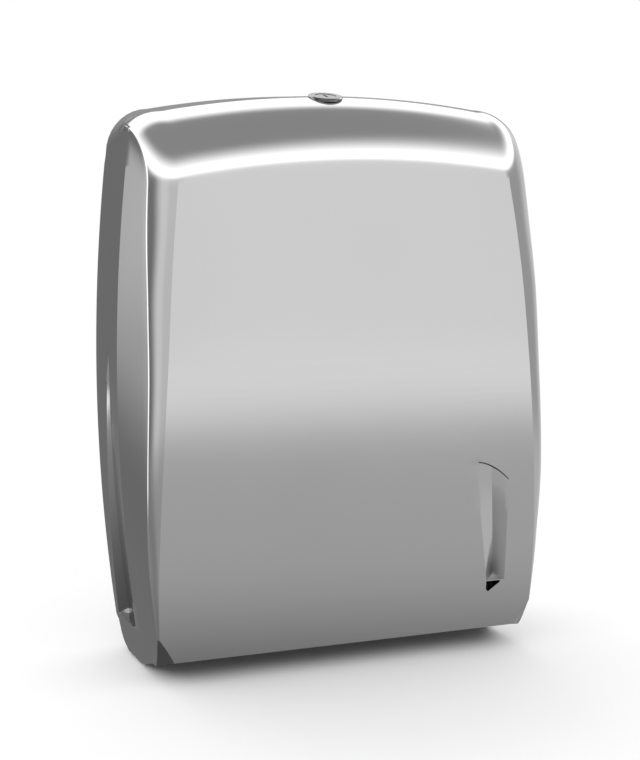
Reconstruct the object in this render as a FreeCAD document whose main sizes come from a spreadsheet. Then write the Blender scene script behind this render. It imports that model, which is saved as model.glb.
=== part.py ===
import FreeCAD, Part
import math
import os
import Sketcher
from types import SimpleNamespace

# Wall-mounted folded-towel dispenser with a bottom-hinged cover.
# X points right, -Y out of the wall, +Z up. The origin is on the wall face,
# on the centre line, at the height of the lower edge.

doc = FreeCAD.newDocument("towel_dispenser")
Vector = FreeCAD.Vector

# Driving dimensions, in millimetres and degrees.
DIMENSIONS = {
    # outer form of the cover
    "width": 300,
    "top_height": 370,
    "side_radius": 1316,
    "widest_height": 175,
    "side_crease": 56,
    "side_narrowing": 7,
    "front_depth": 117,
    "front_radius": 1300,
    "deepest_height": 145,
    "front_drop": 6.5,
    "shoulder_radius": 55,
    "crown_radius": 700,
    "corner_radius": 30,
    "band_width": 24,
    "band_slope": 0.46,
    "wall": 2.6,
    "rear_gap": 1.5,
    # cheek lobes and hinge
    "hinge_depth": 26,
    "hinge_drop": 2,
    "lobe_radius": 19.5,
    "cheek_sag_setback": 42,
    "cheek_sag_drop": 18.3,
    "hinge_pin": 6,
    "hinge_pin_head": 10,
    "hinge_head_thickness": 2,
    "running_gap": 0.05,
    "bush_diameter": 9,
    "bush_flange": 12,
    "bush_flange_thickness": 1.2,
    "boss_diameter": 15,
    "boss_inset": 20,
    "boss_skin": 14.8,
    # grooves of the cover
    "gill_floor": 4,
    "gill_top": 200,
    "gill_depth": 6.5,
    "gill_valley": 14,
    "gill_rear": 9,
    "gill_tip": 36,
    "facet_across": 8,
    "facet_back": 20,
    "sight_inset": 32.5,
    "sight_foot": 15,
    "sight_head": 26.8,
    "sight_top": 117,
    "sight_floor": 29,
    "sight_depth": 9,
    "sight_rise": 5,
    "sight_fall": 14,
    "sight_crest": 4,
    "sight_lip": 1,
    "sight_edge": 0.8,
    "sight_open_width": 11,
    "sight_open": 7.4,
    # back plate
    "plate_thickness": 3,
    "plate_gap": 1.5,
    "plate_bottom": 9,
    "rim_inset": 10,
    "rim_height": 9,
    "rib_height": 5,
    "rib_thickness": 2.4,
    "mount_inset": 55,
    "mount_low": 75,
    "mount_drop": 65,
    "mount_hole": 6,
    "mount_pad": 20,
    # towel magazine
    "side_room": 27,
    "guide_setback": 4,
    "guide_thickness": 1.6,
    "guide_bottom": 18,
    "guide_drop": 70,
    "guide_screw_inset": 55,
    "guide_lip": 12,
    "guide_corner": 4.8,
    "guide_flange": 14,
    "tray_thickness": 2.5,
    "tray_height": 12,
    "tray_room": 6.4,
    "tray_upstand": 20,
    "slot_margin": 28,
    "slot_setback": 18,
    "slot_depth": 30,
    "slot_lip": 8,
    "slot_corner": 4,
    # lock
    "lock_setback": 56,
    "lock_flange": 24,
    "lock_flange_height": 1.4,
    "lock_barrel": 16,
    "lock_length": 20,
    "lock_plug": 12,
    "lock_plug_head": 14,
    "lock_recess": 0.8,
    "lock_plug_step": 1.5,
    "lock_pad": 4,
    "lock_tail": 5,
    "key_slot": 1.4,
    "key_slot_length": 8.4,
    "cam_length": 24,
    "cam_width": 10,
    "cam_corner": 4.5,
    "cam_thickness": 2,
    "nut_across": 21,
    "nut_thickness": 4,
    "washer_thickness": 1,
    "catch_thickness": 2,
    "catch_height": 16,
    "catch_drop": 34,
    "cam_room": 1.1,
    "catch_side": 28,
    "catch_reach": 14,
    "catch_foot": 6,
    # small hardware
    "screw_head": 7,
    "screw_head_height": 2.2,
    "screw_shank": 3,
    "screw_slot": 0.8,
    "screw_skin": 1,
    "bracket_thickness": 2,
    "bracket_low": 8,
    "bracket_high": 10,
    "bracket_reach": 36,
    "bracket_flange": 28,
    "window_width": 22,
    "window_height": 20,
    "window_thickness": 2,
    "retainer_thickness": 1.5,
    "retainer_border": 4,
    "seat_gap": 0.3,
}

sheet = doc.addObject("Spreadsheet::Sheet", "dims")
for row, (name, number) in enumerate(DIMENSIONS.items(), start=1):
    sheet.set(f"A{row}", name)
    sheet.set(f"B{row}", str(number))
    sheet.setAlias(f"B{row}", name)
doc.recompute()

# Tolerances for picking edges, and where a few small things sit along larger ones.
EDGE_MATCH = 0.01
PICK_MARGIN = 0.1
RIB_SHARES = (-0.68, -0.23, 0.23, 0.68)
BRACKET_SCREW_SHARES = (0.34, 0.78)
CATCH_SCREW_SHARES = (0.6, 2)
SCREW_DOME = (0.75, 0.85)


class Size:
    """A length that carries its number and the sheet formula behind it."""

    def __init__(self, number, formula):
        self.number = float(number)
        self.formula = formula

    def join(self, other, sign, number):
        return Size(number, f"({self.formula} {sign} {as_size(other).formula})")

    def __add__(self, other):
        return self.join(other, "+", self.number + as_size(other).number)

    def __sub__(self, other):
        return self.join(other, "-", self.number - as_size(other).number)

    def __mul__(self, other):
        return self.join(other, "*", self.number * as_size(other).number)

    def __truediv__(self, other):
        return self.join(other, "/", self.number / as_size(other).number)

    def __radd__(self, other):
        return as_size(other) + self

    def __rsub__(self, other):
        return as_size(other) - self

    def __neg__(self):
        return Size(-self.number, f"(0 - {self.formula})")

    def __float__(self):
        return self.number


def as_size(value):
    return value if isinstance(value, Size) else Size(value, f"{value:.6f}")


size = SimpleNamespace(**{name: Size(sheet.get(name), f"dims.{name}") for name in DIMENSIONS})
mm = SimpleNamespace(**{name: float(sheet.get(name)) for name in DIMENSIONS})


def derive(name, value):
    """Name a size that follows from others."""
    value = as_size(value)
    setattr(size, name, value)
    setattr(mm, name, value.number)


derive("band_start", size.width / 2 - size.band_width)
derive("cheek_sag_depth", size.front_depth - size.cheek_sag_setback)
derive("boss_face", size.width / 2 - size.boss_inset)
derive("boss_floor", size.width / 2 - size.boss_skin)
derive("sight_right", size.width / 2 - size.sight_inset)
derive("mount_across", size.width - size.mount_inset * 2)
derive("mount_up", size.top_height - size.mount_drop - size.mount_low)
derive("magazine_width", size.width - size.side_room * 2)
derive("guide_top", size.top_height - size.guide_drop)
derive("slot_length", size.magazine_width - size.slot_margin * 2)
derive("lock_depth", size.front_depth - size.lock_setback)
derive("catch_low", size.top_height - size.catch_drop)


def tie(target, path, length):
    """Bind a property to a size in the sheet."""
    target.setExpression(path, as_size(length).formula)


def new_body(label):
    body = doc.addObject("PartDesign::Body", label)
    body.Label = label
    return body


def new_sketch(body, name, role, lift=0):
    """Sketch on one of the body's own origin planes, lifted along its normal."""
    plane = next(item for item in body.Origin.OriginFeatures if item.Role == role)
    sketch = body.newObject("Sketcher::SketchObject", name)
    sketch.AttachmentSupport = [(plane, "")]
    sketch.MapMode = "FlatFace"
    tie(sketch, "AttachmentOffset.Base.z", lift)
    return sketch


def pin_point(sketch, element, end, across, along):
    """Hold one point of a sketch at two sheet lengths from the sketch origin."""
    for kind, length in (("DistanceX", across), ("DistanceY", along)):
        length = as_size(length)
        index = sketch.addConstraint(
            Sketcher.Constraint(kind, -1, 1, element, end, length.number)
        )
        sketch.setExpression(f"Constraints[{index}]", length.formula)


def draw_outline(sketch, corners):
    """Closed straight-sided outline through the given corners."""
    first = sketch.GeometryCount
    points = [Vector(float(x), float(y), 0) for x, y in corners]
    count = len(points)
    for index, start in enumerate(points):
        sketch.addGeometry(Part.LineSegment(start, points[(index + 1) % count]), False)
    for index in range(count):
        following = first + (index + 1) % count
        sketch.addConstraint(Sketcher.Constraint("Coincident", first + index, 2, following, 1))
    for index, (across, along) in enumerate(corners):
        pin_point(sketch, first + index, 1, across, along)


def draw_rectangle(sketch, left, right, low, high):
    draw_outline(sketch, [(left, low), (right, low), (right, high), (left, high)])


def draw_circle(sketch, across, along, diameter):
    radius = as_size(diameter) / 2
    element = sketch.addGeometry(
        Part.Circle(Vector(float(across), float(along), 0), Vector(0, 0, 1), radius.number), False
    )
    pin_point(sketch, element, 3, across, along)
    index = sketch.addConstraint(Sketcher.Constraint("Radius", element, radius.number))
    sketch.setExpression(f"Constraints[{index}]", radius.formula)


def pad(body, sketch, length, reverse=False, centred=False):
    feature = body.newObject("PartDesign::Pad", f"{sketch.Name}_pad")
    feature.Profile = sketch
    feature.Reversed = reverse
    feature.Midplane = centred
    tie(feature, "Length", length)
    doc.recompute()
    return feature


def pocket(body, sketch, reverse=False, centred=False, length=None):
    """Cut a sketch away, and make sure that it removed something."""
    before = body.Shape.Volume
    feature = body.newObject("PartDesign::Pocket", f"{sketch.Name}_pocket")
    feature.Profile = sketch
    feature.Reversed = reverse
    feature.Midplane = centred
    if length is None:
        feature.Type = "ThroughAll"
    else:
        tie(feature, "Length", length)
    doc.recompute()
    if body.Shape.Volume >= before:
        raise RuntimeError(f"{sketch.Name} cut nothing")
    return feature


def soften(body, kind, radius, picks):
    """Fillet or chamfer the edges of the body that picks(edge) accepts."""
    base = body.Tip
    names = [f"Edge{i}" for i, edge in enumerate(base.Shape.Edges, 1) if picks(edge)]
    feature = body.newObject(f"PartDesign::{kind}", f"{body.Name}_{kind.lower()}")
    feature.Base = (base, names)
    if kind == "Fillet":
        tie(feature, "Radius", radius)
    else:
        tie(feature, "Size", radius)
    doc.recompute()
    return feature


def shape_feature(label, shape, placement=None):
    feature = doc.addObject("Part::Feature", label)
    feature.Label = label
    feature.Shape = shape
    if placement:
        feature.Placement = placement
    return feature


# Form of the cover, shared by the shell, its hollow, the back plate and the lock.

def side_reach(height):
    """Half width of the outer form at a height."""
    rise = height - mm.widest_height
    return mm.width / 2 - mm.side_radius + math.sqrt(mm.side_radius**2 - rise**2)


def front_reach(height):
    """Distance of the front face from the wall at a height."""
    rise = height - mm.deepest_height
    return mm.front_depth - mm.front_radius + math.sqrt(mm.front_radius**2 - rise**2)


def touching_centre(first, first_radius, second, second_radius, radius):
    """Centre of the circle that touches two circles from inside, the upper outer one."""
    reach_first = first_radius - radius
    reach_second = second_radius - radius
    gap = second - first
    span = gap.Length
    along = (reach_first**2 - reach_second**2 + span**2) / (2 * span)
    across = math.sqrt(reach_first**2 - along**2)
    unit = gap / span
    normal = Vector(-unit.y, unit.x, 0)
    options = [first + unit * along + normal * across, first + unit * along - normal * across]
    return max(options, key=lambda point: point.y + point.x)


def push(centre, point, radius):
    return centre + (point - centre).normalize() * radius


def crown_wire(depth, inset, narrowing, floor):
    """Front view of the form: bulging sides, rounded corners and a crowned top."""
    side_centre = Vector(mm.width / 2 - mm.side_radius - narrowing, mm.widest_height, 0)
    crown_centre = Vector(0, mm.top_height - mm.crown_radius, 0)
    side_radius = mm.side_radius - inset
    crown_radius = mm.crown_radius - inset
    corner_radius = mm.corner_radius - inset
    corner = touching_centre(
        side_centre, side_radius, crown_centre, crown_radius, corner_radius
    )
    side_end = push(side_centre, corner, side_radius)
    crown_end = push(crown_centre, corner, crown_radius)
    drop = floor - mm.widest_height
    foot = Vector(side_centre.x + math.sqrt(side_radius**2 - drop**2), floor, 0)
    widest = Vector(side_centre.x + side_radius, mm.widest_height, 0)
    corner_mid = push(corner, corner + Vector(1, 1, 0), corner_radius)
    top = Vector(0, crown_centre.y + crown_radius, 0)
    right = [foot, widest, side_end, corner_mid, crown_end]

    def place(point, side=1):
        return Vector(side * point.x, -depth, point.y)

    def arc(start, middle, end, side=1):
        return Part.Arc(place(start, side), place(middle, side), place(end, side)).toShape()

    edges = [
        arc(right[0], right[1], right[2]),
        arc(right[2], right[3], right[4]),
        Part.Arc(place(crown_end), place(top), place(crown_end, -1)).toShape(),
        arc(right[4], right[3], right[2], -1),
        arc(right[2], right[1], right[0], -1),
        Part.makeLine(place(foot, -1), place(foot)),
    ]
    return Part.Wire(edges)


def shoulder_points(inset):
    """Ends and middle of the shoulder arc, as (depth, height) pairs."""
    front_centre = Vector(mm.front_depth - mm.front_radius, mm.deepest_height, 0)
    centre_height = mm.top_height - mm.shoulder_radius
    reach = mm.front_radius - mm.shoulder_radius
    rise = centre_height - mm.deepest_height
    centre = Vector(front_centre.x + math.sqrt(reach**2 - rise**2), centre_height, 0)
    radius = mm.shoulder_radius - inset
    low = push(front_centre, centre, mm.front_radius - inset)
    high = centre + Vector(0, radius, 0)
    middle = push(centre, (low + high) / 2, radius)
    return low, middle, high


def profile_wire(across, inset, hollow):
    """Side view of the form; the hollow one runs out past the back and the bottom."""
    low, middle, high = shoulder_points(inset)
    deepest = Vector(mm.front_depth - inset, mm.deepest_height, 0)

    def place(point):
        return Vector(across, -point.x, point.y)

    def spot(depth, height):
        return Vector(across, -depth, height)

    front_centre = mm.front_depth - mm.front_radius
    foot_height = -3 * mm.lobe_radius if hollow else -mm.front_drop
    drop = foot_height - mm.deepest_height
    foot_depth = front_centre + math.sqrt((mm.front_radius - inset)**2 - drop**2)
    rear = -mm.wall if hollow else mm.rear_gap
    top = mm.top_height - inset
    edges = [
        Part.makeLine(spot(rear, top), place(high)),
        Part.Arc(place(high), place(middle), place(low)).toShape(),
        Part.Arc(place(low), place(deepest), spot(foot_depth, foot_height)).toShape(),
    ]
    if hollow:
        edges.append(Part.makeLine(spot(foot_depth, foot_height), spot(rear, foot_height)))
        edges.append(Part.makeLine(spot(rear, foot_height), spot(rear, top)))
        return Part.Wire(edges)
    hinge = Vector(mm.hinge_depth, -mm.hinge_drop, 0)
    lobe_front = push(hinge, hinge + Vector(1, -4, 0), mm.lobe_radius)
    lobe_low = push(hinge, hinge + Vector(-1, -1, 0), mm.lobe_radius)
    lobe_rear = push(hinge, hinge + Vector(-4, 1, 0), mm.lobe_radius)
    sag = spot(mm.cheek_sag_depth, -mm.cheek_sag_drop)
    edges.append(Part.Arc(spot(foot_depth, foot_height), sag, place(lobe_front)).toShape())
    edges.append(Part.Arc(place(lobe_front), place(lobe_low), place(lobe_rear)).toShape())
    edges.append(Part.makeLine(place(lobe_rear), spot(rear, mm.gill_floor)))
    edges.append(Part.makeLine(spot(rear, mm.gill_floor), spot(rear, top)))
    return Part.Wire(edges)


def corner_facet(side, inset):
    """Tool that planes off the lower front corner of the form on one side."""
    tip = Vector(side * side_reach(0), -front_reach(0), 3 * mm.front_drop)
    front = Vector(side * (side_reach(0) - mm.facet_across), -front_reach(0), -mm.front_drop)
    rear = Vector(side * side_reach(0), -front_reach(0) + mm.facet_back, -2 * mm.front_drop)
    normal = (front - tip).cross(rear - tip).normalize()
    if normal.z > 0:
        normal = -normal
    reach = mm.width / 4
    along = (front - tip).normalize()
    across = normal.cross(along)
    centre = (tip + front + rear) / 3 - normal * inset
    corners = [
        centre + along * (reach * i) + across * (reach * j)
        for i, j in ((-1, -1), (1, -1), (1, 1), (-1, 1), (-1, -1))
    ]
    return Part.Face(Part.makePolygon(corners)).extrude(normal * reach)


def cover_form(inset, hollow):
    """Solid of the cover's outer form, or of the space inside it."""
    edge = mm.width / 2 + mm.wall
    drop = (edge - mm.band_start) * mm.band_slope
    stations = [(-edge, drop), (-mm.band_start, 0), (mm.band_start, 0), (edge, drop)]
    wires = [profile_wire(x, inset + extra, hollow) for x, extra in stations]
    across = Part.makeLoft(wires, True, True)
    floor = -4 * mm.lobe_radius
    behind = -2 * mm.wall
    crease = mm.side_crease
    straight = Part.Face(crown_wire(behind, inset, 0, floor))
    rear = straight.extrude(Vector(0, behind - crease, 0))
    tapered = [
        crown_wire(crease, inset, 0, floor),
        crown_wire(mm.front_depth + mm.wall, inset, mm.side_narrowing, floor),
    ]
    front = Part.makeLoft(tapered, True, True)
    form = across.common(rear).fuse(across.common(front))
    for side in (-1, 1):
        form = form.cut(corner_facet(side, inset))
    return form.removeSplitter()


def lofted(sections):
    wires = [Part.makePolygon(points + points[:1]) for points in sections]
    return Part.makeLoft(wires, True, True)


def side_gill(side, grow):
    """Tapered groove behind the side crease, deepest just above the hinge lobe."""
    steps = 8
    sections = []
    low = mm.gill_floor - grow
    lift = grow * PICK_MARGIN
    for step in range(steps + 1):
        share = step / steps
        height = low + (mm.gill_top - low) * share
        face = side_reach(height)
        valley = mm.gill_valley + (mm.gill_tip - mm.gill_valley) * share
        rear = mm.gill_rear + (mm.gill_tip - mm.gill_rear) * share - grow
        deep = mm.gill_depth * (1 - share) + grow
        outside = face + mm.wall
        sections.append([
            Vector(side * (face - lift), -mm.side_crease - grow, height),
            Vector(side * (face - deep), -valley - mm.wall * share, height),
            Vector(side * face, -rear, height),
            Vector(side * outside, -rear, height),
            Vector(side * outside, -mm.side_crease - grow, height),
        ])
    return lofted(sections)


def sight_groove(grow):
    """V-groove of the level sight, low on the right of the front face."""
    low = mm.sight_floor - grow
    high = mm.sight_top
    right = mm.sight_right
    middle = right - mm.sight_head / 2
    tip = right - mm.sight_head
    right_end = high - mm.sight_fall
    shallow = mm.sight_depth / 3
    stations = []
    for height in (low, (low + right_end) / 2, right_end):
        share = (height - low) / (right_end - low)
        wide = mm.sight_foot + (mm.sight_head - mm.sight_crest / 2 - mm.sight_foot) * share
        depth = mm.sight_depth + (shallow - mm.sight_depth) * share
        stations.append((height, right - wide, right - wide / 2, right, depth))
    crest = high - mm.sight_crest
    stations.append((crest + grow, tip + mm.sight_lip, middle - mm.sight_lip, middle, shallow / 2))
    stations.append((high + grow, tip, tip + mm.sight_lip, tip + 2 * mm.sight_lip, shallow / 8))
    slant = mm.sight_rise / mm.sight_depth
    sections = []
    for height, left, valley, edge, depth in stations:
        face = front_reach(height)
        inside = depth + grow
        sections.append([
            Vector(left - grow, -face, height),
            Vector(valley, -face + inside, height + slant * inside),
            Vector(edge + grow, -face, height),
            Vector(edge + grow, -face - mm.wall, height - slant * mm.wall),
            Vector(left - grow, -face - mm.wall, height - slant * mm.wall),
        ])
        slant = 0
    return lofted(sections)


window_front = front_reach(mm.sight_floor) - mm.sight_depth - mm.wall - mm.seat_gap
window_rear = window_front - mm.window_thickness
open_left = mm.sight_right - mm.sight_foot + mm.sight_edge
open_high = mm.sight_floor - mm.sight_lip
sight_middle = open_left + mm.sight_open_width / 2
sight_height = open_high - mm.sight_open / 2
post_offset = mm.window_width / 2 + mm.retainer_border + mm.screw_head / 2
post_places = [sight_middle - post_offset, sight_middle + post_offset]
derive("tray_front", window_rear - mm.retainer_thickness - mm.tray_room)
derive("magazine_depth", size.tray_front - size.guide_setback)
derive("slot_front", size.tray_front - size.slot_setback)
derive("slot_rear", size.slot_front - size.slot_depth)


def along_y(radius, across, height, start, end):
    """Round bar from one distance off the wall to another."""
    return Part.makeCylinder(
        radius, end - start, Vector(across, -start, height), Vector(0, -1, 0)
    )


def lock_frame():
    """Placement of the lock: on the shoulder, along the surface normal."""
    low, middle, high = shoulder_points(0)
    lean = math.asin((mm.lock_depth - high.x) / mm.shoulder_radius)
    height = mm.top_height - mm.shoulder_radius * (1 - math.cos(lean))
    rotation = FreeCAD.Rotation(Vector(1, 0, 0), math.degrees(lean))
    return FreeCAD.Placement(Vector(0, -mm.lock_depth, height), rotation)


def turned(radius, low, high, placement):
    """Round bar between two heights of a placed local axis."""
    bar = Part.makeCylinder(radius, high - low, Vector(0, 0, low))
    bar.Placement = placement.multiply(bar.Placement)
    return bar


def hinge_bar(side, radius, start, end):
    """Round bar on the hinge axis, between two distances from the centre line."""
    centre = Vector(side * start, -mm.hinge_depth, -mm.hinge_drop)
    return Part.makeCylinder(radius, end - start, centre, Vector(side, 0, 0))


def build_front_cover():
    """Drawn shell with its gills, sight, hinge bosses, window posts and lock seat."""
    shell = cover_form(0, False).cut(sight_groove(0))
    hollow = cover_form(mm.wall, True).cut(sight_groove(mm.wall))
    for side in (-1, 1):
        shell = shell.cut(side_gill(side, 0))
        hollow = hollow.cut(side_gill(side, mm.wall))
        hollow = hollow.cut(hinge_bar(side, mm.boss_diameter / 2, mm.boss_face, mm.width))
    for across in post_places:
        post = along_y(mm.screw_head / 2, across, sight_height, window_rear, mm.front_depth)
        hollow = hollow.cut(post)
    seat = lock_frame()
    pad_radius = mm.lock_flange / 2 + mm.seat_gap
    cover = shell.cut(hollow.cut(turned(pad_radius, -mm.lock_pad, mm.wall, seat)))
    for side in (-1, 1):
        cover = cover.cut(
            hinge_bar(side, mm.bush_diameter / 2, mm.boss_face - mm.wall, mm.boss_floor)
        )
    pilot = mm.screw_shank / 2 + mm.running_gap
    for across in post_places:
        cover = cover.cut(
            along_y(pilot, across, sight_height, window_rear - mm.wall, window_rear + 3 * mm.wall)
        )
    low = open_high - mm.sight_open
    right = open_left + mm.sight_open_width
    corners = [
        (open_left, open_high),
        (open_left, low + 2 * mm.sight_lip),
        (open_left + 2 * mm.sight_lip, low),
        (right, open_high - 2 * mm.sight_lip),
        (right, open_high),
        (open_left, open_high),
    ]
    outside = mm.front_depth + mm.wall
    sight = Part.makePolygon([Vector(across, -outside, height) for across, height in corners])
    cover = cover.cut(Part.Face(sight).extrude(Vector(0, outside - window_front, 0)))
    cover = cover.cut(turned(pad_radius, -mm.lock_recess, 2 * mm.wall, seat))
    return cover.cut(turned(barrel_hole, -2 * mm.wall, mm.wall, seat))


barrel_hole = mm.lock_barrel / 2 + mm.running_gap
shape_feature("front_cover", build_front_cover())


def plate_wire(extra):
    """Front view of the back plate, set in from the cover's inner face."""
    inset = mm.wall + mm.plate_gap + extra
    return crown_wire(0, inset, 0, -mm.plate_bottom + extra)


def build_back_plate():
    """Flat moulding with a stiffening rim, cross ribs, screw pads and wall holes."""
    plate = Part.Face(plate_wire(0)).extrude(Vector(0, -mm.plate_thickness, 0))
    rim_depth = mm.plate_thickness + mm.rim_height
    outer = Part.Face(plate_wire(mm.rim_inset)).extrude(Vector(0, -rim_depth, 0))
    inner = Part.Face(plate_wire(mm.rim_inset + mm.rib_thickness))
    rim = outer.cut(inner.extrude(Vector(0, -rim_depth, 0)))
    rim_foot = mm.guide_bottom + mm.tray_upstand
    below = Part.makeBox(
        2 * mm.width, 2 * rim_depth, 2 * mm.width,
        Vector(-mm.width, -2 * rim_depth, rim_foot - 2 * mm.width),
    )
    plate = plate.fuse(rim.cut(below))
    rib_depth = mm.plate_thickness + mm.rib_height
    foot = rim_foot + 3 * mm.rib_thickness
    span = mm.mount_across / 2
    for share in RIB_SHARES:
        corner = Vector(share * span - mm.rib_thickness / 2, -rib_depth, foot)
        rib = Part.makeBox(mm.rib_thickness, rib_depth, mm.guide_top - foot, corner)
        plate = plate.fuse(rib)
    for share in (0, 0.5, 1):
        height = foot + (mm.guide_top - foot - mm.rib_thickness) * share
        corner = Vector(-span, -rib_depth, height)
        plate = plate.fuse(Part.makeBox(2 * span, rib_depth, mm.rib_thickness, corner))
    for across, height in mount_places():
        plate = plate.fuse(along_y(mm.mount_pad / 2, across, height, 0, rib_depth))
    sink = mm.mount_pad / 2 - mm.rib_thickness
    for across, height in mount_places():
        plate = plate.cut(along_y(mm.mount_hole / 2, across, height, -1, rib_depth))
        plate = plate.cut(along_y(sink, across, height, mm.plate_thickness, rib_depth))
    pilot = mm.screw_shank / 2 + mm.running_gap
    places = guide_screws + tray_screws + bracket_screws + catch_screws
    for across, height in places:
        plate = plate.cut(along_y(pilot, across, height, mm.screw_skin, rim_depth))
    return plate.removeSplitter()


def mount_places():
    """Centres of the four wall-screw holes, as (across, height) pairs."""
    half = mm.mount_across / 2
    heights = (mm.mount_low, mm.mount_low + mm.mount_up)
    return [(side * half, height) for side in (-1, 1) for height in heights]


# Screw centres on the back plate, as (across, height) pairs of sheet lengths.
guide_screw_across = size.magazine_width / 2 - size.guide_flange / 2
guide_screws = [
    (guide_screw_across * side, height)
    for side in (-1, 1)
    for height in (
        size.guide_bottom + size.guide_screw_inset,
        size.guide_top - size.guide_screw_inset,
    )
]
tray_screws = [
    (size.slot_length / 2 * side, size.tray_height + size.tray_upstand / 2) for side in (-1, 1)
]
bracket_face = size.boss_face - size.bush_flange_thickness - size.seat_gap
bracket_middle = (size.bracket_high - size.bracket_low) / 2
bracket_screws = [
    ((bracket_face - size.bracket_flange * share) * side, bracket_middle)
    for side in (-1, 1)
    for share in BRACKET_SCREW_SHARES
]
catch_screws = [
    (size.catch_foot + size.screw_head * share, size.catch_low + size.catch_height / 2)
    for share in CATCH_SCREW_SHARES
]


def pan_screw(length):
    """Pan-head screw; the face under its head lies at the origin, the head above."""
    head = mm.screw_head / 2
    shank = mm.screw_shank / 2
    crest = mm.screw_head_height
    across, up = SCREW_DOME
    bend = Vector(head * across, 0, crest * up)
    dome = Part.Arc(Vector(head, 0, crest / 3), bend, Vector(0, 0, crest))
    profile = Part.Wire([
        Part.makeLine(Vector(0, 0, -length), Vector(shank, 0, -length)),
        Part.makeLine(Vector(shank, 0, -length), Vector(shank, 0, 0)),
        Part.makeLine(Vector(shank, 0, 0), Vector(head, 0, 0)),
        Part.makeLine(Vector(head, 0, 0), Vector(head, 0, crest / 3)),
        dome.toShape(),
        Part.makeLine(Vector(0, 0, crest), Vector(0, 0, -length)),
    ])
    screw = Part.Face(profile).revolve(Vector(0, 0, 0), Vector(0, 0, 1), 360)
    corner = Vector(-head, -mm.screw_slot / 2, crest / 2)
    return screw.cut(Part.makeBox(2 * head, mm.screw_slot, crest, corner))


def screw_group(label, places, seat, length, tilt=90):
    """Identical screws along Y as one node; tilt 90 drives them towards the wall."""
    screws = []
    for across, height in places:
        screw = pan_screw(float(length))
        rotation = FreeCAD.Rotation(Vector(1, 0, 0), tilt)
        screw.Placement = FreeCAD.Placement(
            Vector(float(across), -float(seat), float(height)), rotation
        )
        screws.append(screw)
    shape_feature(label, Part.makeCompound(screws))


def plate_screws(label, places, flange):
    """Screws that hold a flange of the given thickness to the back plate."""
    seat = mm.plate_thickness + flange
    screw_group(label, places, seat, seat - mm.screw_skin - mm.seat_gap)


def screw_holes(body, places, flange):
    """Clearance holes through a flange that lies on the back plate."""
    for index, (across, height) in enumerate(places):
        hole = new_sketch(body, f"{body.Name}_hole_{index}", "XZ_Plane", size.plate_thickness)
        draw_circle(hole, across, height, size.screw_shank + size.running_gap * 2)
        pocket(body, hole, reverse=True, length=flange * 2)


def along_axis(edge, axis, length, test):
    """True for a straight edge of this length along an axis whose middle passes a test."""
    if len(edge.Vertexes) != 2:
        return False
    start, end = (vertex.Point for vertex in edge.Vertexes)
    run = end - start
    straight = abs(abs(getattr(run, axis)) - float(length)) < EDGE_MATCH
    return straight and abs(run.Length - float(length)) < EDGE_MATCH and test((start + end) / 2)


def build_guide(label, side):
    """Sheet side wall of the magazine: rear flange, wall and front lip."""
    body = new_body(label)
    thickness = size.guide_thickness
    inner = size.magazine_width / 2 * side
    outer = (size.magazine_width / 2 + thickness) * side
    flange = (size.magazine_width / 2 - size.guide_flange) * side
    lip = (size.magazine_width / 2 - size.guide_lip) * side
    rear = -size.plate_thickness
    front = -size.magazine_depth
    section = new_sketch(body, f"{label}_section", "XY_Plane", size.guide_bottom)
    draw_outline(section, [
        (flange, rear),
        (outer, rear),
        (outer, front),
        (lip, front),
        (lip, front + thickness),
        (inner, front + thickness),
        (inner, rear - thickness),
        (flange, rear - thickness),
    ])
    tall = size.guide_top - size.guide_bottom
    pad(body, section, tall)
    places = [place for place in guide_screws if place[0].number * side > 0]
    screw_holes(body, places, thickness)
    soften(body, "Fillet", size.guide_corner, lambda edge: along_axis(
        edge, "y", thickness, lambda middle: middle.z > mm.guide_top - PICK_MARGIN
    ))


def build_tray():
    """Magazine floor with rear flange, front upstand and a lipped dispensing slot."""
    body = new_body("towel_tray")
    thickness = size.tray_thickness
    rear = -size.plate_thickness
    front = -size.tray_front
    half = size.magazine_width / 2 - size.seat_gap
    slot = size.slot_length / 2
    slot_edges = (-slot, slot, -size.slot_front, -size.slot_rear)
    floor = new_sketch(body, "tray_floor", "XY_Plane", size.tray_height)
    draw_rectangle(floor, -half, half, front, rear)
    draw_rectangle(floor, *slot_edges)
    pad(body, floor, thickness)
    lips = new_sketch(body, "tray_lips", "XY_Plane", size.tray_height)
    draw_rectangle(
        lips,
        -slot - thickness,
        slot + thickness,
        -size.slot_front - thickness,
        -size.slot_rear + thickness,
    )
    draw_rectangle(lips, *slot_edges)
    pad(body, lips, size.slot_lip, reverse=True)
    flange = half - size.guide_flange
    walls = new_sketch(body, "tray_walls", "XY_Plane", size.tray_height)
    draw_rectangle(walls, -flange, flange, rear - thickness, rear)
    draw_rectangle(walls, -half, half, front, front + thickness)
    pad(body, walls, size.tray_upstand)
    screw_holes(body, tray_screws, thickness)
    soften(body, "Fillet", size.slot_corner, lambda edge: along_axis(
        edge, "z", size.slot_lip + thickness, lambda middle: abs(middle.x) < slot.number + PICK_MARGIN
    ))


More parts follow.
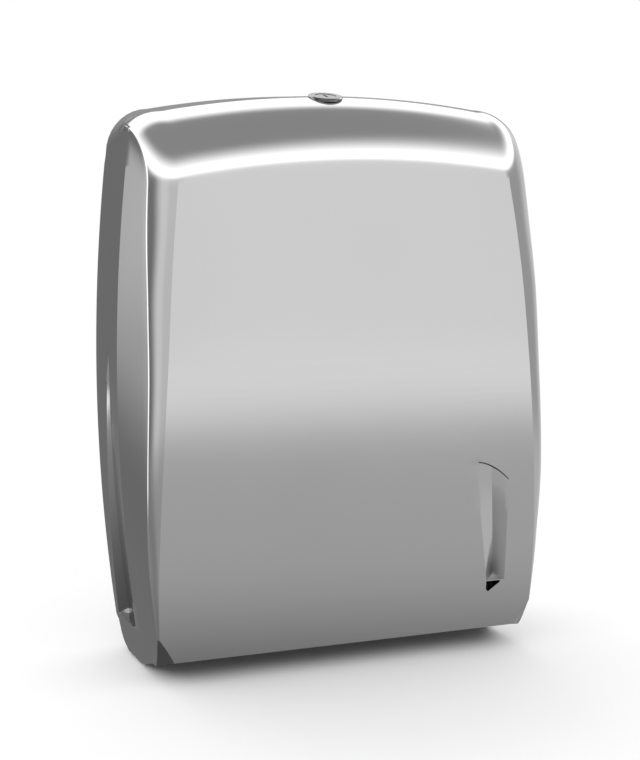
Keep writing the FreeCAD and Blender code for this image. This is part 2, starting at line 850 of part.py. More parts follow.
def build_bracket(label, side):
    """Bent hinge plate: a flange on the back plate and an arm with the pin hole."""
    body = new_body(label)
    thickness = size.bracket_thickness
    rear = -size.plate_thickness
    reach = -size.bracket_reach
    outer = bracket_face * side
    inner = (bracket_face - thickness) * side
    flange = (bracket_face - size.bracket_flange) * side
    section = new_sketch(body, f"{label}_section", "XY_Plane", -size.bracket_low)
    draw_outline(section, [
        (flange, rear),
        (outer, rear),
        (outer, reach),
        (inner, reach),
        (inner, rear - thickness),
        (flange, rear - thickness),
    ])
    pad(body, section, size.bracket_low + size.bracket_high)
    hole = new_sketch(body, f"{label}_pin_hole", "YZ_Plane", outer)
    draw_circle(hole, -size.hinge_depth, -size.hinge_drop, size.hinge_pin + size.running_gap * 2)
    pocket(body, hole, reverse=side < 0, length=thickness * 2)
    places = [place for place in bracket_screws if place[0].number * side > 0]
    screw_holes(body, places, thickness)
    soften(body, "Fillet", thickness * 2, lambda edge: along_axis(
        edge, "x", thickness, lambda middle: middle.y < reach.number + PICK_MARGIN
    ))


def ring(body, name, start, length, outer, bore, side):
    """Disc or sleeve on the hinge axis, padded outwards from a distance off centre."""
    sketch = new_sketch(body, name, "YZ_Plane", start * side)
    draw_circle(sketch, -size.hinge_depth, -size.hinge_drop, outer)
    if bore:
        draw_circle(sketch, -size.hinge_depth, -size.hinge_drop, bore)
    pad(body, sketch, length, reverse=side < 0)


def build_pin(label, side):
    """Headed pin, riveted in the bracket and running in the bush."""
    body = new_body(label)
    head = size.hinge_head_thickness
    start = bracket_face - size.bracket_thickness - head
    end = size.boss_floor - size.seat_gap * 2
    ring(body, f"{label}_head", start, head, size.hinge_pin_head, None, side)
    ring(body, f"{label}_shaft", start + head, end - start - head, size.hinge_pin, None, side)
    tip = end.number
    soften(body, "Chamfer", size.hinge_pin / 10, lambda edge: (
        abs(edge.BoundBox.Center.x - side * tip) < EDGE_MATCH and len(edge.Vertexes) == 1
    ))


def build_bush(label, side):
    """Flanged bush in the cover's blind boss."""
    body = new_body(label)
    bore = size.hinge_pin + size.running_gap * 2
    sleeve = size.bush_diameter - size.running_gap * 2
    collar = size.bush_flange_thickness
    start = size.boss_face - collar
    ring(body, f"{label}_collar", start, collar, size.bush_flange, bore, side)
    depth = size.boss_floor - size.boss_face - size.seat_gap
    ring(body, f"{label}_sleeve", size.boss_face, depth, sleeve, bore, side)


def revolve(body, sketch):
    """Turn a half profile about the sketch's vertical axis."""
    feature = body.newObject("PartDesign::Revolution", f"{sketch.Name}_turn")
    feature.Profile = sketch
    feature.ReferenceAxis = (sketch, ["V_Axis"])
    feature.Angle = 360
    doc.recompute()


# Levels along the lock axis, measured from the cover's outer face.
lock_top = size.lock_flange_height
plug_step = lock_top - size.lock_plug_step
cam_top = -(size.lock_length + size.cam_thickness + size.seat_gap)
cam_under = cam_top - size.cam_thickness


def build_lock_body():
    """Barrel with its bezel and the stepped bore for the plug."""
    body = new_body("lock_body")
    bore = size.lock_plug / 2 + size.running_gap
    mouth = size.lock_plug_head / 2 + size.seat_gap
    rim = size.lock_flange / 2
    profile = new_sketch(body, "lock_body_profile", "XZ_Plane")
    draw_outline(profile, [
        (bore, -size.lock_length),
        (size.lock_barrel / 2, -size.lock_length),
        (size.lock_barrel / 2, -size.lock_recess),
        (rim, -size.lock_recess),
        (rim, lock_top / 2),
        (rim - lock_top / 2, lock_top),
        (mouth, lock_top),
        (mouth, plug_step),
        (bore, plug_step),
    ])
    revolve(body, profile)
    body.Placement = lock_frame()


def build_lock_plug():
    """Turning plug: head with a key slot, round body, square tail with a tapped hole."""
    body = new_body("lock_plug")
    head = size.lock_plug_head / 2
    radius = size.lock_plug / 2
    profile = new_sketch(body, "lock_plug_profile", "XZ_Plane")
    zero = as_size(0)
    draw_outline(profile, [
        (zero, cam_top),
        (radius, cam_top),
        (radius, plug_step + size.seat_gap),
        (head, plug_step + size.seat_gap),
        (head, lock_top - size.seat_gap),
        (zero, lock_top - size.seat_gap),
    ])
    revolve(body, profile)
    half = size.lock_tail / 2
    tail = new_sketch(body, "lock_plug_tail", "XY_Plane", cam_top)
    draw_rectangle(tail, -half, half, -half, half)
    pad(body, tail, size.cam_thickness - size.running_gap * 2, reverse=True)
    hole = new_sketch(body, "lock_plug_hole", "XY_Plane", cam_under)
    draw_circle(hole, zero, zero, size.screw_shank + size.running_gap * 2)
    pocket(body, hole, reverse=True, length=size.screw_shank * 3)
    slot = new_sketch(body, "lock_plug_slot", "XY_Plane", lock_top)
    half_slot = size.key_slot / 2
    draw_rectangle(slot, -half_slot, half_slot, -size.key_slot_length / 2, size.key_slot_length / 2)
    pocket(body, slot, length=radius)
    body.Placement = lock_frame()


def build_lock_cam():
    """Flat cam on the square tail; at rest it points at the wall."""
    body = new_body("lock_cam")
    half = size.cam_width / 2
    tail = size.lock_tail / 2 + size.running_gap
    outline = new_sketch(body, "lock_cam_outline", "XY_Plane", cam_under)
    draw_rectangle(outline, -half, half, -half, size.cam_length - half)
    draw_rectangle(outline, -tail, tail, -tail, tail)
    pad(body, outline, size.cam_thickness)
    soften(body, "Fillet", size.cam_corner, lambda edge: along_axis(
        edge, "z", size.cam_thickness, lambda middle: abs(middle.x) > tail.number + PICK_MARGIN
    ))
    body.Placement = lock_frame()


def build_lock_washer():
    body = new_body("lock_washer")
    lift = -(size.lock_pad + size.washer_thickness)
    outline = new_sketch(body, "lock_washer_outline", "XY_Plane", lift)
    draw_circle(outline, 0, 0, size.nut_across)
    draw_circle(outline, 0, 0, size.lock_barrel + size.running_gap * 2)
    pad(body, outline, size.washer_thickness)
    body.Placement = lock_frame()


def build_lock_nut():
    """Hexagon nut that clamps the barrel against the cover."""
    body = new_body("lock_nut")
    lift = -(size.lock_pad + size.washer_thickness + size.nut_thickness)
    corner = size.nut_across * (1 / math.sqrt(3))
    outline = new_sketch(body, "lock_nut_outline", "XY_Plane", lift)
    draw_outline(outline, [
        (corner * math.cos(math.radians(60 * i)), corner * math.sin(math.radians(60 * i)))
        for i in range(6)
    ])
    draw_circle(outline, 0, 0, size.lock_barrel + size.running_gap * 2)
    pad(body, outline, size.nut_thickness)
    body.Placement = lock_frame()


def build_catch():
    """Bent catch: flange on the back plate, arm forward, tab in front of the cam."""
    body = new_body("catch_plate")
    thickness = size.catch_thickness
    rear = -size.plate_thickness
    cam_middle = lock_frame().multVec(Vector(0, 0, (cam_top.number + cam_under.number) / 2))
    tab = as_size(cam_middle.y) - size.cam_width / 2 - size.cam_room
    section = new_sketch(body, "catch_section", "XY_Plane", size.catch_low)
    draw_outline(section, [
        (size.catch_foot, rear),
        (size.catch_side + thickness, rear),
        (size.catch_side + thickness, tab - thickness),
        (size.catch_reach, tab - thickness),
        (size.catch_reach, tab),
        (size.catch_side, tab),
        (size.catch_side, rear - thickness),
        (size.catch_foot, rear - thickness),
    ])
    pad(body, section, size.catch_height)
    screw_holes(body, catch_screws, thickness)


def build_window():
    """Clear pane that closes the sight opening from inside."""
    body = new_body("level_window")
    outline = new_sketch(body, "level_window_outline", "XZ_Plane", window_rear)
    half = size.window_width / 2
    tall = size.window_height / 2
    draw_rectangle(
        outline, -half + sight_middle, half + sight_middle, -tall + sight_height,
        tall + sight_height,
    )
    pad(body, outline, size.window_thickness)


def build_retainer():
    """Frame with two screw ears that holds the pane."""
    body = new_body("window_retainer")
    half = size.window_width / 2
    tall = size.window_height / 2
    border = size.retainer_border
    lift = window_rear - mm.retainer_thickness
    outline = new_sketch(body, "retainer_outline", "XZ_Plane", lift)
    draw_rectangle(
        outline,
        -half - border + sight_middle,
        half + border + sight_middle,
        -tall + sight_height,
        tall + sight_height,
    )
    draw_rectangle(
        outline,
        -half + border + sight_middle,
        half - border + sight_middle,
        -tall + border + sight_height,
        tall - border + sight_height,
    )
    pad(body, outline, size.retainer_thickness)
    ears = new_sketch(body, "retainer_ears", "XZ_Plane", lift)
    ear = size.screw_head / 2
    reach = post_offset + mm.screw_head / 2
    draw_rectangle(ears, sight_middle - reach, -half - border + sight_middle,
                   -ear + sight_height, ear + sight_height)
    draw_rectangle(ears, half + border + sight_middle, sight_middle + reach,
                   -ear + sight_height, ear + sight_height)
    pad(body, ears, size.retainer_thickness)
    for index, across in enumerate(post_places):
        hole = new_sketch(body, f"retainer_hole_{index}", "XZ_Plane", lift)
        draw_circle(hole, across, sight_height, size.screw_shank + size.running_gap * 2)
        pocket(body, hole, reverse=True, length=size.retainer_thickness * 2)


shape_feature("back_plate", build_back_plate())
for name, side in (("left", -1), ("right", 1)):
    build_guide(f"{name}_guide", side)
    build_bracket(f"{name}_hinge_bracket", side)
    build_pin(f"{name}_hinge_pin", side)
    build_bush(f"{name}_hinge_bush", side)
build_tray()
build_catch()
build_window()
build_retainer()
build_lock_body()
build_lock_plug()
build_lock_cam()
build_lock_washer()
build_lock_nut()
plate_screws("guide_screws", guide_screws, mm.guide_thickness)
plate_screws("tray_screws", tray_screws, mm.tray_thickness)
plate_screws("bracket_screws", bracket_screws, mm.bracket_thickness)
plate_screws("catch_screws", catch_screws, mm.catch_thickness)
retainer_seat = window_rear - mm.retainer_thickness
ears = [(across, sight_height) for across in post_places]
screw_group("retainer_screws", ears, retainer_seat, 2 * mm.screw_shank, tilt=-90)
under_cam = FreeCAD.Placement(Vector(0, 0, cam_under.number), FreeCAD.Rotation(0, 0, 180))
shape_feature(
    "cam_screw", pan_screw(2 * mm.screw_shank), lock_frame().multiply(under_cam)
)

doc.recompute()
for item in doc.Objects:
    if "Invalid" in item.State or "Error" in item.State:
        raise RuntimeError(f"{item.Name} failed: {item.State}")

os.makedirs("parts", exist_ok=True)
for item in doc.Objects:
    if item.TypeId not in ("PartDesign::Body", "Part::Feature"):
        continue
    if item.Shape.isNull() or not item.Shape.isValid():
        raise RuntimeError(f"{item.Label} has no sound shape")
    item.Shape.exportStep(f"parts/{item.Label}.step")
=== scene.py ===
import bmesh
import bpy
import math
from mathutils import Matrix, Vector


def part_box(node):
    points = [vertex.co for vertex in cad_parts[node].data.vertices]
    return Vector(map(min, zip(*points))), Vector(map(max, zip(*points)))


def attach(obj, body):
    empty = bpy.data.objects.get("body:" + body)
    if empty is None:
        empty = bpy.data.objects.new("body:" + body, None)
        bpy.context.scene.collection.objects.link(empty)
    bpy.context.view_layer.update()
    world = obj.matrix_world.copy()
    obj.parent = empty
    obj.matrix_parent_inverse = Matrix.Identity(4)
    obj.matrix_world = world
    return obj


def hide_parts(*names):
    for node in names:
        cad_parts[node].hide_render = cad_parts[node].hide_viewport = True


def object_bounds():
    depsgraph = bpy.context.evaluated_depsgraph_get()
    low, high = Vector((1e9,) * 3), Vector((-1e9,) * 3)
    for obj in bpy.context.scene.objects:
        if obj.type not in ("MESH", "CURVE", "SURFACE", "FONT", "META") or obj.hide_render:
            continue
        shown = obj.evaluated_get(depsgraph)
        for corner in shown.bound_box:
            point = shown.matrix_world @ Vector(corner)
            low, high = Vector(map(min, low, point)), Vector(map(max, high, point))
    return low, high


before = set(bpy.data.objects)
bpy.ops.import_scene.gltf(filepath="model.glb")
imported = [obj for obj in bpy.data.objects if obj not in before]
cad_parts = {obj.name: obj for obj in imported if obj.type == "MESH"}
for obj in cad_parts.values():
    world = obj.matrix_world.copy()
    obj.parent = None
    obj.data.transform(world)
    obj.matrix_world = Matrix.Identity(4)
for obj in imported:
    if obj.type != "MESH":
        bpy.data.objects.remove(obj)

bl_info = {
    "name": "Towel Dispenser Looks",
    "version": (1, 0, 0),
    "blender": (4, 5, 0),
    "location": "3D View > Sidebar > Dispenser",
    "description": "Dresses the packed folded-towel dispenser and sets its studio",
    "category": "Object",
}

MM = 0.001
CAD_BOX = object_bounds()
COVER_LOW, COVER_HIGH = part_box("front_cover")
BUSH_LOW, BUSH_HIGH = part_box("right_hinge_bush")
WINDOW_LOW, WINDOW_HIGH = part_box("level_window")
EARS_LOW, EARS_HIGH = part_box("window_retainer")


def length(name, text, default):
    return bpy.props.FloatProperty(
        name=name, description=text, default=default, unit="LENGTH", precision=5
    )


def grey(name, text, level):
    return bpy.props.FloatVectorProperty(
        name=name, description=text, default=(level, level, level), size=3, subtype="COLOR",
        min=0, max=1,
    )


class CoverSizes(bpy.types.PropertyGroup):
    half_width: length("Half width", "Half of the widest width", COVER_HIGH[0])
    top: length("Top", "Height of the crown on the centre line", COVER_HIGH[2])
    depth: length("Depth", "Deepest point of the front", -COVER_LOW[1])
    rear: length("Rear gap", "Distance of the rear edge from the wall", -COVER_HIGH[1])
    front_radius: length("Front radius", "Vertical bow of the front", 1.3)
    deepest: length("Deepest height", "Height where the front is deepest", 0.145)
    side_radius: length("Side radius", "Vertical bow of the sides", 1.316)
    widest: length("Widest height", "Height where the sides are widest", 0.175)
    crown_radius: length("Crown radius", "Bow of the top across", 0.7)
    shoulder: length("Shoulder", "Radius between front and top", 0.055)
    corner: length("Corner", "Drop of the rounded top corner", 0.03)
    foot: length("Foot", "Height of the front's lower edge", -0.0065)
    crease: length("Side crease", "Depth where the sides begin to lean in", 0.056)
    wall: length("Wall", "Thickness of the sheet", 0.0024)
    gill_depth: length("Gill depth", "Deepest point of the side gills", 0.0065)
    gill_top: length("Gill top", "Height where the side gills run out", 0.2)
    gill_floor: length("Gill floor", "Height of the ledge under the side gills", 0.004)
    sight_depth: length("Sight depth", "Deepest point of the sight groove", 0.005)
    sight_floor: length("Sight floor", "Height of the ledge of the sight groove", 0.029)
    sight_top: length("Sight top", "Height of the upper left end of the sight", 0.117)


class Finishes(bpy.types.PropertyGroup):
    steel: grey("Satin steel", "Colour of the cover", 0.36)
    zinc: grey("Zinc sheet", "Colour of the bent sheet parts", 0.5)
    bright: grey("Bright steel", "Colour of screws, cam and pins", 0.55)
    chrome: grey("Lock chrome", "Colour of the lock", 0.16)
    plastic: grey("Dark plastic", "Colour of plate, tray and retainer", 0.07)
    bearing: grey("Bearing plastic", "Colour of the bushes", 0.74)
    floor: grey("Floor", "Colour of the floor", 0.68)
    roughness: bpy.props.FloatProperty(
        name="Roughness", description="Roughness of the satin cover", default=0.15,
        min=0, max=1, subtype="FACTOR",
    )


# Shader maths.

class Value:
    """A shader socket that takes part in Python expressions."""

    def __init__(self, tree, socket):
        self.tree = tree
        self.socket = socket

    def maths(self, operation, *values):
        return self.tree.add("ShaderNodeMath", {"operation": operation}, dict(enumerate(values)))

    def __add__(self, other):
        return self.maths("ADD", self, other)

    def __sub__(self, other):
        return self.maths("SUBTRACT", self, other)

    def __rsub__(self, other):
        return self.maths("SUBTRACT", other, self)

    def __mul__(self, other):
        return self.maths("MULTIPLY", self, other)

    def __truediv__(self, other):
        return self.maths("DIVIDE", self, other)

    def __rtruediv__(self, other):
        return self.maths("DIVIDE", other, self)

    __radd__ = __add__
    __rmul__ = __mul__

    def larger(self, other):
        return self.maths("MAXIMUM", self, other)

    def smooth(self, low, high):
        """0 at low, 1 at high, eased between; low may be the larger one."""
        settings = {"interpolation_type": "SMOOTHSTEP"}
        return self.tree.add("ShaderNodeMapRange", settings, {0: self, 1: low, 2: high})


class Tree:
    """Adds nodes to one node tree, each through the same method."""

    def __init__(self, holder):
        holder.use_nodes = True
        self.nodes = holder.node_tree.nodes
        self.links = holder.node_tree.links
        self.nodes.clear()

    def add(self, kind, settings=None, inputs=None, output=0):
        """Add a node, set it up, feed its sockets and give back one of its outputs."""
        node = self.nodes.new(kind)
        for name, setting in (settings or {}).items():
            setattr(node, name, setting)
        for key, value in (inputs or {}).items():
            self.feed(node.inputs[key], value)
        return Value(self, node.outputs[output]) if node.outputs else None

    def feed(self, socket, value):
        if isinstance(value, Value):
            self.links.new(value.socket, socket)
        else:
            socket.default_value = value

    def coordinates(self, output):
        return self.add("ShaderNodeTexCoord", output=output)

    def parts(self, vector):
        """The three components of a vector."""
        return [
            self.add("ShaderNodeSeparateXYZ", None, {0: vector}, axis) for axis in range(3)
        ]


def surface(name, **constants):
    """Material, its tree and its Principled shader, whose plain sockets are set as given."""
    material = bpy.data.materials.new(name)
    tree = Tree(material)
    inputs = {socket.replace("_", " "): value for socket, value in constants.items()}
    shader = tree.add("ShaderNodeBsdfPrincipled", None, inputs)
    tree.add("ShaderNodeOutputMaterial", None, {"Surface": shader})
    return material, tree, shader.socket.node


def colour(level):
    return (*level, 1)


def scaled_noise(tree, scale, stretch=(1, 1, 1), detail=4):
    """Noise in the object's own metres, stretched along its axes."""
    stretched = tree.add(
        "ShaderNodeVectorMath", {"operation": "MULTIPLY"},
        {0: tree.coordinates("Object"), 1: stretch},
    )
    return tree.add(
        "ShaderNodeTexNoise", None, {"Vector": stretched, "Scale": scale, "Detail": detail}
    )


def shade(tree, level, mask, dark, light):
    """Colour between two shares of a level, by a mask."""
    low = colour([part * dark for part in level])
    high = colour([part * light for part in level])
    return tree.add("ShaderNodeMix", {"data_type": "RGBA"}, {0: mask, 6: low, 7: high}, 2)


def bumped(tree, shader, height, strength, distance):
    normal = tree.add(
        "ShaderNodeBump", None, {"Strength": strength, "Distance": distance, "Height": height}
    )
    tree.feed(shader.inputs["Normal"], normal)


# Finishes.

def satin_steel(finish):
    """Satin sheet: fine grain across and faint cloudiness."""
    material, tree, shader = surface("satin steel", Metallic=1.0, IOR=1.45)
    grain = scaled_noise(tree, scale=420, stretch=(0.04, 1, 1), detail=3)
    cloud = scaled_noise(tree, scale=9)
    steel = shade(tree, finish.steel, cloud, dark=0.97, light=1.03)
    tree.feed(shader.inputs["Base Color"], steel)
    rough = finish.roughness + (grain - 0.5) * 0.05 + (cloud - 0.5) * 0.04
    tree.feed(shader.inputs["Roughness"], rough)
    bumped(tree, shader, grain, strength=0.05, distance=0.04 * MM)
    return material


def zinc_sheet(finish):
    """Galvanised sheet with soft flakes."""
    material, tree, shader = surface("zinc sheet", Metallic=1.0)
    flakes = scaled_noise(tree, scale=60, detail=2)
    zinc = shade(tree, finish.zinc, flakes, dark=0.85, light=1.15)
    tree.feed(shader.inputs["Base Color"], zinc)
    tree.feed(shader.inputs["Roughness"], 0.3 + flakes * 0.2)
    bumped(tree, shader, flakes, strength=0.08, distance=0.1 * MM)
    return material


def bright_steel(finish):
    """Turned and plated steel with fine turning marks."""
    material, tree, shader = surface("bright steel", Metallic=1.0)
    turned = scaled_noise(tree, scale=900, stretch=(1, 0.1, 1), detail=2)
    bright = shade(tree, finish.bright, turned, dark=0.9, light=1.1)
    tree.feed(shader.inputs["Base Color"], bright)
    tree.feed(shader.inputs["Roughness"], 0.22 + turned * 0.14)
    bumped(tree, shader, turned, strength=0.06, distance=0.05 * MM)
    return material


def lock_chrome(finish):
    """Polished chrome, a little worn."""
    material, tree, shader = surface("lock chrome", Metallic=1.0)
    wear = scaled_noise(tree, scale=500)
    chrome = shade(tree, finish.chrome, wear, dark=0.95, light=1.05)
    tree.feed(shader.inputs["Base Color"], chrome)
    tree.feed(shader.inputs["Roughness"], 0.08 + wear * 0.12)
    return material


def dark_plastic(finish):
    """Moulded plastic with a fine grain."""
    material, tree, shader = surface("dark plastic", IOR=1.5)
    grain = scaled_noise(tree, scale=1400, detail=2)
    cloud = scaled_noise(tree, scale=25)
    plastic = shade(tree, finish.plastic, cloud, dark=0.85, light=1.2)
    tree.feed(shader.inputs["Base Color"], plastic)
    tree.feed(shader.inputs["Roughness"], 0.5 + grain * 0.2)
    bumped(tree, shader, grain, strength=0.25, distance=0.1 * MM)
    return material


def bearing_plastic(finish):
    """Pale, slightly waxy plastic of the bushes."""
    material, tree, shader = surface("bearing plastic", IOR=1.48)
    cloud = scaled_noise(tree, scale=300)
    bearing = shade(tree, finish.bearing, cloud, dark=0.95, light=1.03)
    tree.feed(shader.inputs["Base Color"], bearing)
    tree.feed(shader.inputs["Roughness"], 0.4 + cloud * 0.15)
    return material


def clear_window(finish):
    """Clear pane with faint scuffs."""
    material, tree, shader = surface(
        "clear window", Transmission_Weight=1.0, IOR=1.49, Base_Color=(0.9, 0.92, 0.93, 1)
    )
    scuffs = scaled_noise(tree, scale=700, stretch=(1, 1, 0.2), detail=3)
    tree.feed(shader.inputs["Roughness"], 0.03 + scuffs * 0.08)
    return material


SLOT_FINISHES = {
    "satin_steel": satin_steel,
    "sheet_steel": zinc_sheet,
    "screw_steel": bright_steel,
    "lock_chrome": lock_chrome,
    "dark_plastic": dark_plastic,
    "bush_plastic": bearing_plastic,
    "clear_window": clear_window,
}


def finish_for(slot):
    """The material of a record slot, made on first use."""
    name = SLOT_FINISHES[slot].__name__.replace("_", " ")
    known = bpy.data.materials.get(name)
    return known or SLOT_FINISHES[slot](bpy.context.scene.dispenser_finishes)


# Sums on places.

def mix(start, end, share):
    return start + (end - start) * share


def clamp(value, low=0.0, high=1.0):
    return max(low, min(high, value))


def eased(share):
    share = clamp(share)
    return share * share * (3 - 2 * share)


def follow(points, place):
    """Value at a place along (place, value) pairs, straight between them."""
    for (start, low), (end, high) in zip(points, points[1:]):
        if place <= end:
            return mix(low, high, clamp((place - start) / (end - start)))
    return points[-1][1]


def spread(keys, counts):
    """Positions between keys: counts[i] equal steps from keys[i] to keys[i + 1]."""
    places = [keys[0]]
    for start, end, count in zip(keys, keys[1:], counts):
        places += [mix(start, end, (step + 1) / count) for step in range(count)]
    return places


# The cover's form.

class CoverForm:
    """The cover's outer skin as one net: front, shoulder, top, bands and sides.

    A row is a pair of its kind and its place. The place is a height for a front row, and a share
    of the way up or back for a shoulder or top row.
    """

    # Steps of each stretch of the net.
    ROW_STEPS = (4, 1, 3, 2, 1, 4, 1, 1, 1, 18, 10, 1, 18, 18, 8)
    SHOULDER_STEPS = 22
    LEFT_STEPS = 14
    RIGHT_STEPS = (9, 5, 4, 3)
    BAND_STEPS = 9
    EDGE_STEPS = 6
    SIDE_STEPS = (6, 5, 3, 3)

    # How the sides lean in towards the front.
    LEAN = 6 * MM
    LEAN_START = 40 * MM
    LEAN_RISE = 170 * MM
    LEAN_DEPTH = 105 * MM
    LEAN_LIMIT = 1.1

    # Depths of the gill's valley and of its rear edge, at its floor and at its top.
    GILL_VALLEY = (14 * MM, 36 * MM)
    GILL_REAR = (9 * MM, 33 * MM)
    LEDGE = 0.4 * MM

    # The corner band runs out at the apex. Its widths are pairs of height and width.
    APEX = 11 * MM
    BAND_WIDTHS = [
        (11 * MM, 1 * MM), (55 * MM, 5 * MM), (85 * MM, 7.2 * MM), (130 * MM, 9.3 * MM),
        (185 * MM, 10.8 * MM), (220 * MM, 12.4 * MM), (260 * MM, 13.9 * MM),
        (318 * MM, 16.5 * MM),
    ]
    BAND_LOW = 62 * MM
    BAND_HIGH = 300 * MM
    APEX_DROP = 2 * MM
    LOW_DROP = 6.3 * MM
    HIGH_DROP = 10.7 * MM
    WAIST_DROP = 2.2 * MM
    WAIST_RISE = 50 * MM
    WAIST_FALL = 60 * MM

    # Where the band starts across, and where its hard edge ends at the foot and at the tip.
    FOOT_BAND = 128 * MM
    SHOULDER_BAND = 116.5 * MM
    REAR_BAND = 110.5 * MM
    FOOT_POINT = Vector((0.1375, -0.096, -0.011))
    TIP = 140.4 * MM

    # Angles at which the band leaves the front and meets the hard edge.
    START_ANGLE = 9
    EDGE_ANGLE = 50
    FOOT_ANGLE = 8
    REAR_ANGLE = 88
    LEAST_TURN = 0.05
    EDGE_RADIUS = 1.2 * MM

    # The sight groove: places across at its ledge and at its top, and its fading.
    SIGHT_LEFT = (103.3 * MM, 90.7 * MM)
    SIGHT_VALLEY = (110.3 * MM, 104.3 * MM)
    SIGHT_RIGHT = 117.5 * MM
    SIGHT_FADE = 103 * MM
    SIGHT_LEAN = 14 * MM
    LEDGE_SLANT = 5 / 9
    EVEN_SHARES = (0.74, 0.84, 0.93)

    # The opening under the ledge: pairs of the drop below the ledge and the place across.
    OPENING_DROPS = (8.4 * MM, 6.7 * MM, 2.2 * MM, 0.7 * MM)
    OPENING_LEFT = [(14 * MM, 100 * MM), (8.4 * MM, 105 * MM), (6.7 * MM, 103.3 * MM)]
    OPENING_RIGHT = [
        (14 * MM, 108.5 * MM), (8.4 * MM, 105 * MM), (2.2 * MM, 113.9 * MM),
        (0.7 * MM, 114.3 * MM),
    ]
    OPENING_LIMIT = 0.5 * MM
    TINY = 0.01 * MM

    # The curved upper edge of the sight groove and how far its pull reaches.
    DIP_SLOPE = 1.16 * MM
    DIP_CURVE = 12.84 * MM
    DIP_FOOT = 70 * MM
    DIP_HEAD = 160 * MM
    DIP_END = 135 * MM

    # The cheek's lower edge as pairs of depth and height: rear edge, hinge lobe and toe.
    HINGE_DEPTH = 26 * MM
    HINGE_HEIGHT = -2 * MM
    LOBE = 19.5 * MM
    REAR_FOOT = 2 * MM
    TOE = [
        (34 * MM, -19.8 * MM), (42 * MM, -21.5 * MM), (55 * MM, -21 * MM),
        (72 * MM, -18.5 * MM), (96 * MM, -11 * MM),
    ]

    def __init__(self, sizes):
        self.s = sizes
        rise = sizes.top - sizes.shoulder - sizes.deepest
        reach = sizes.front_radius - sizes.shoulder
        bow_centre = sizes.depth - sizes.front_radius
        self.shoulder_depth = bow_centre + math.sqrt(reach**2 - rise**2)
        self.first_tilt = math.asin(rise / reach)
        self.shoulder_foot = sizes.deepest + sizes.front_radius * math.sin(self.first_tilt)

    def front(self, height):
        """Depth of the front at a height."""
        s = self.s
        bow = math.sqrt(s.front_radius**2 - (height - s.deepest) ** 2)
        return s.depth - s.front_radius + bow

    def sag(self, across):
        """How far the crown falls towards the sides."""
        return across**2 / (2 * self.s.crown_radius)

    def side(self, depth, height):
        """Half width of the side at a depth and height."""
        s = self.s
        bow = math.sqrt(s.side_radius**2 - (height - s.widest) ** 2)
        half = s.half_width - s.side_radius + bow
        lean = self.LEAN * eased((height - self.LEAN_START) / self.LEAN_RISE)
        run = clamp((depth - s.crease) / (self.LEAN_DEPTH - s.crease), 0, self.LEAN_LIMIT)
        return half - lean * run

    def gill_share(self, height):
        s = self.s
        return clamp((height - s.gill_floor) / (s.gill_top - s.gill_floor))

    def gill_depths(self, share):
        """Depths of the gill's valley and rear edge at a share of its height."""
        return mix(*self.GILL_VALLEY, share), mix(*self.GILL_REAR, share)

    def gill(self, depth, height):
        """How far the side gill is pressed in at a depth and height."""
        s = self.s
        share = self.gill_share(height)
        if height < s.gill_floor - self.LEDGE / 4 or share >= 1:
            return 0
        valley, rear = self.gill_depths(share)
        deep = s.gill_depth * (1 - share)
        if depth >= valley:
            return deep * clamp((s.crease - depth) / (s.crease - valley))
        return deep * clamp((depth - rear) / (valley - rear))

    def band_drop(self, height):
        """How far the hard edge lies behind the front, narrower at the band's waist."""
        rise = clamp((height - self.BAND_LOW) / (self.BAND_HIGH - self.BAND_LOW))
        waist = eased((height - self.BAND_LOW) / self.WAIST_RISE)
        waist *= eased((self.BAND_HIGH - height) / self.WAIST_FALL)
        upper = mix(self.LOW_DROP, self.HIGH_DROP, rise) - self.WAIST_DROP * waist
        share = clamp((height - self.APEX) / (self.BAND_LOW - self.APEX))
        return mix(self.APEX_DROP, upper, share)

    def settled(self, height, across):
        """Height of a front point once the crown's sag is shared out below the shoulder."""
        s = self.s
        blend = clamp((height - s.sight_top) / (self.shoulder_foot - s.sight_top))
        return height - self.sag(across) * eased(blend)

    def front_edges(self, height):
        """Band start, drop and hard edge of a front row."""
        s = self.s
        drop = self.band_drop(height)
        tilt = math.asin((height - s.deepest) / s.front_radius)
        depth = self.front(height) - drop * math.cos(tilt)
        inner = self.side(depth, height) - follow(self.BAND_WIDTHS, height)
        level = self.settled(height, inner) - drop * math.sin(tilt)
        return inner, drop, Vector((self.side(depth, level), -depth, level))

    def edges(self, row):
        """Band start, hard edge and the angle at which the band meets it."""
        kind, share = row
        if kind == "front":
            return self.lower_edges(share)
        s = self.s
        turn = share if kind == "shoulder" else 1
        back = share if kind == "top" else 0
        tilt = mix(self.first_tilt, math.pi / 2, turn)
        first_inner, drop, _ = self.front_edges(self.shoulder_foot)
        inner = mix(mix(first_inner, self.SHOULDER_BAND, turn), self.REAR_BAND, back)
        reach = s.shoulder - mix(drop, s.corner, back)
        height = s.top - s.shoulder - self.sag(inner) + reach * math.sin(tilt)
        depth = self.shoulder_depth + reach * math.cos(tilt)
        if kind == "top":
            depth = mix(self.shoulder_depth, s.rear, share)
        half = mix(self.side(depth, height), self.TIP, eased(turn))
        angle = mix(self.EDGE_ANGLE, self.REAR_ANGLE, eased(back * 2.5))
        return inner, Vector((half, -depth, height)), angle

    def lower_edges(self, height):
        """Edges of a front row. Below the apex they turn into the corner facet."""
        inner, _, hard = self.front_edges(height)
        if height >= self.APEX:
            return inner, hard, self.EDGE_ANGLE
        down = clamp((self.APEX - height) / (self.APEX - self.s.foot))
        hard = hard.lerp(self.FOOT_POINT, down)
        inner = mix(inner, self.FOOT_BAND, down)
        return inner, hard, mix(self.EDGE_ANGLE, self.FOOT_ANGLE, eased(down * 3))

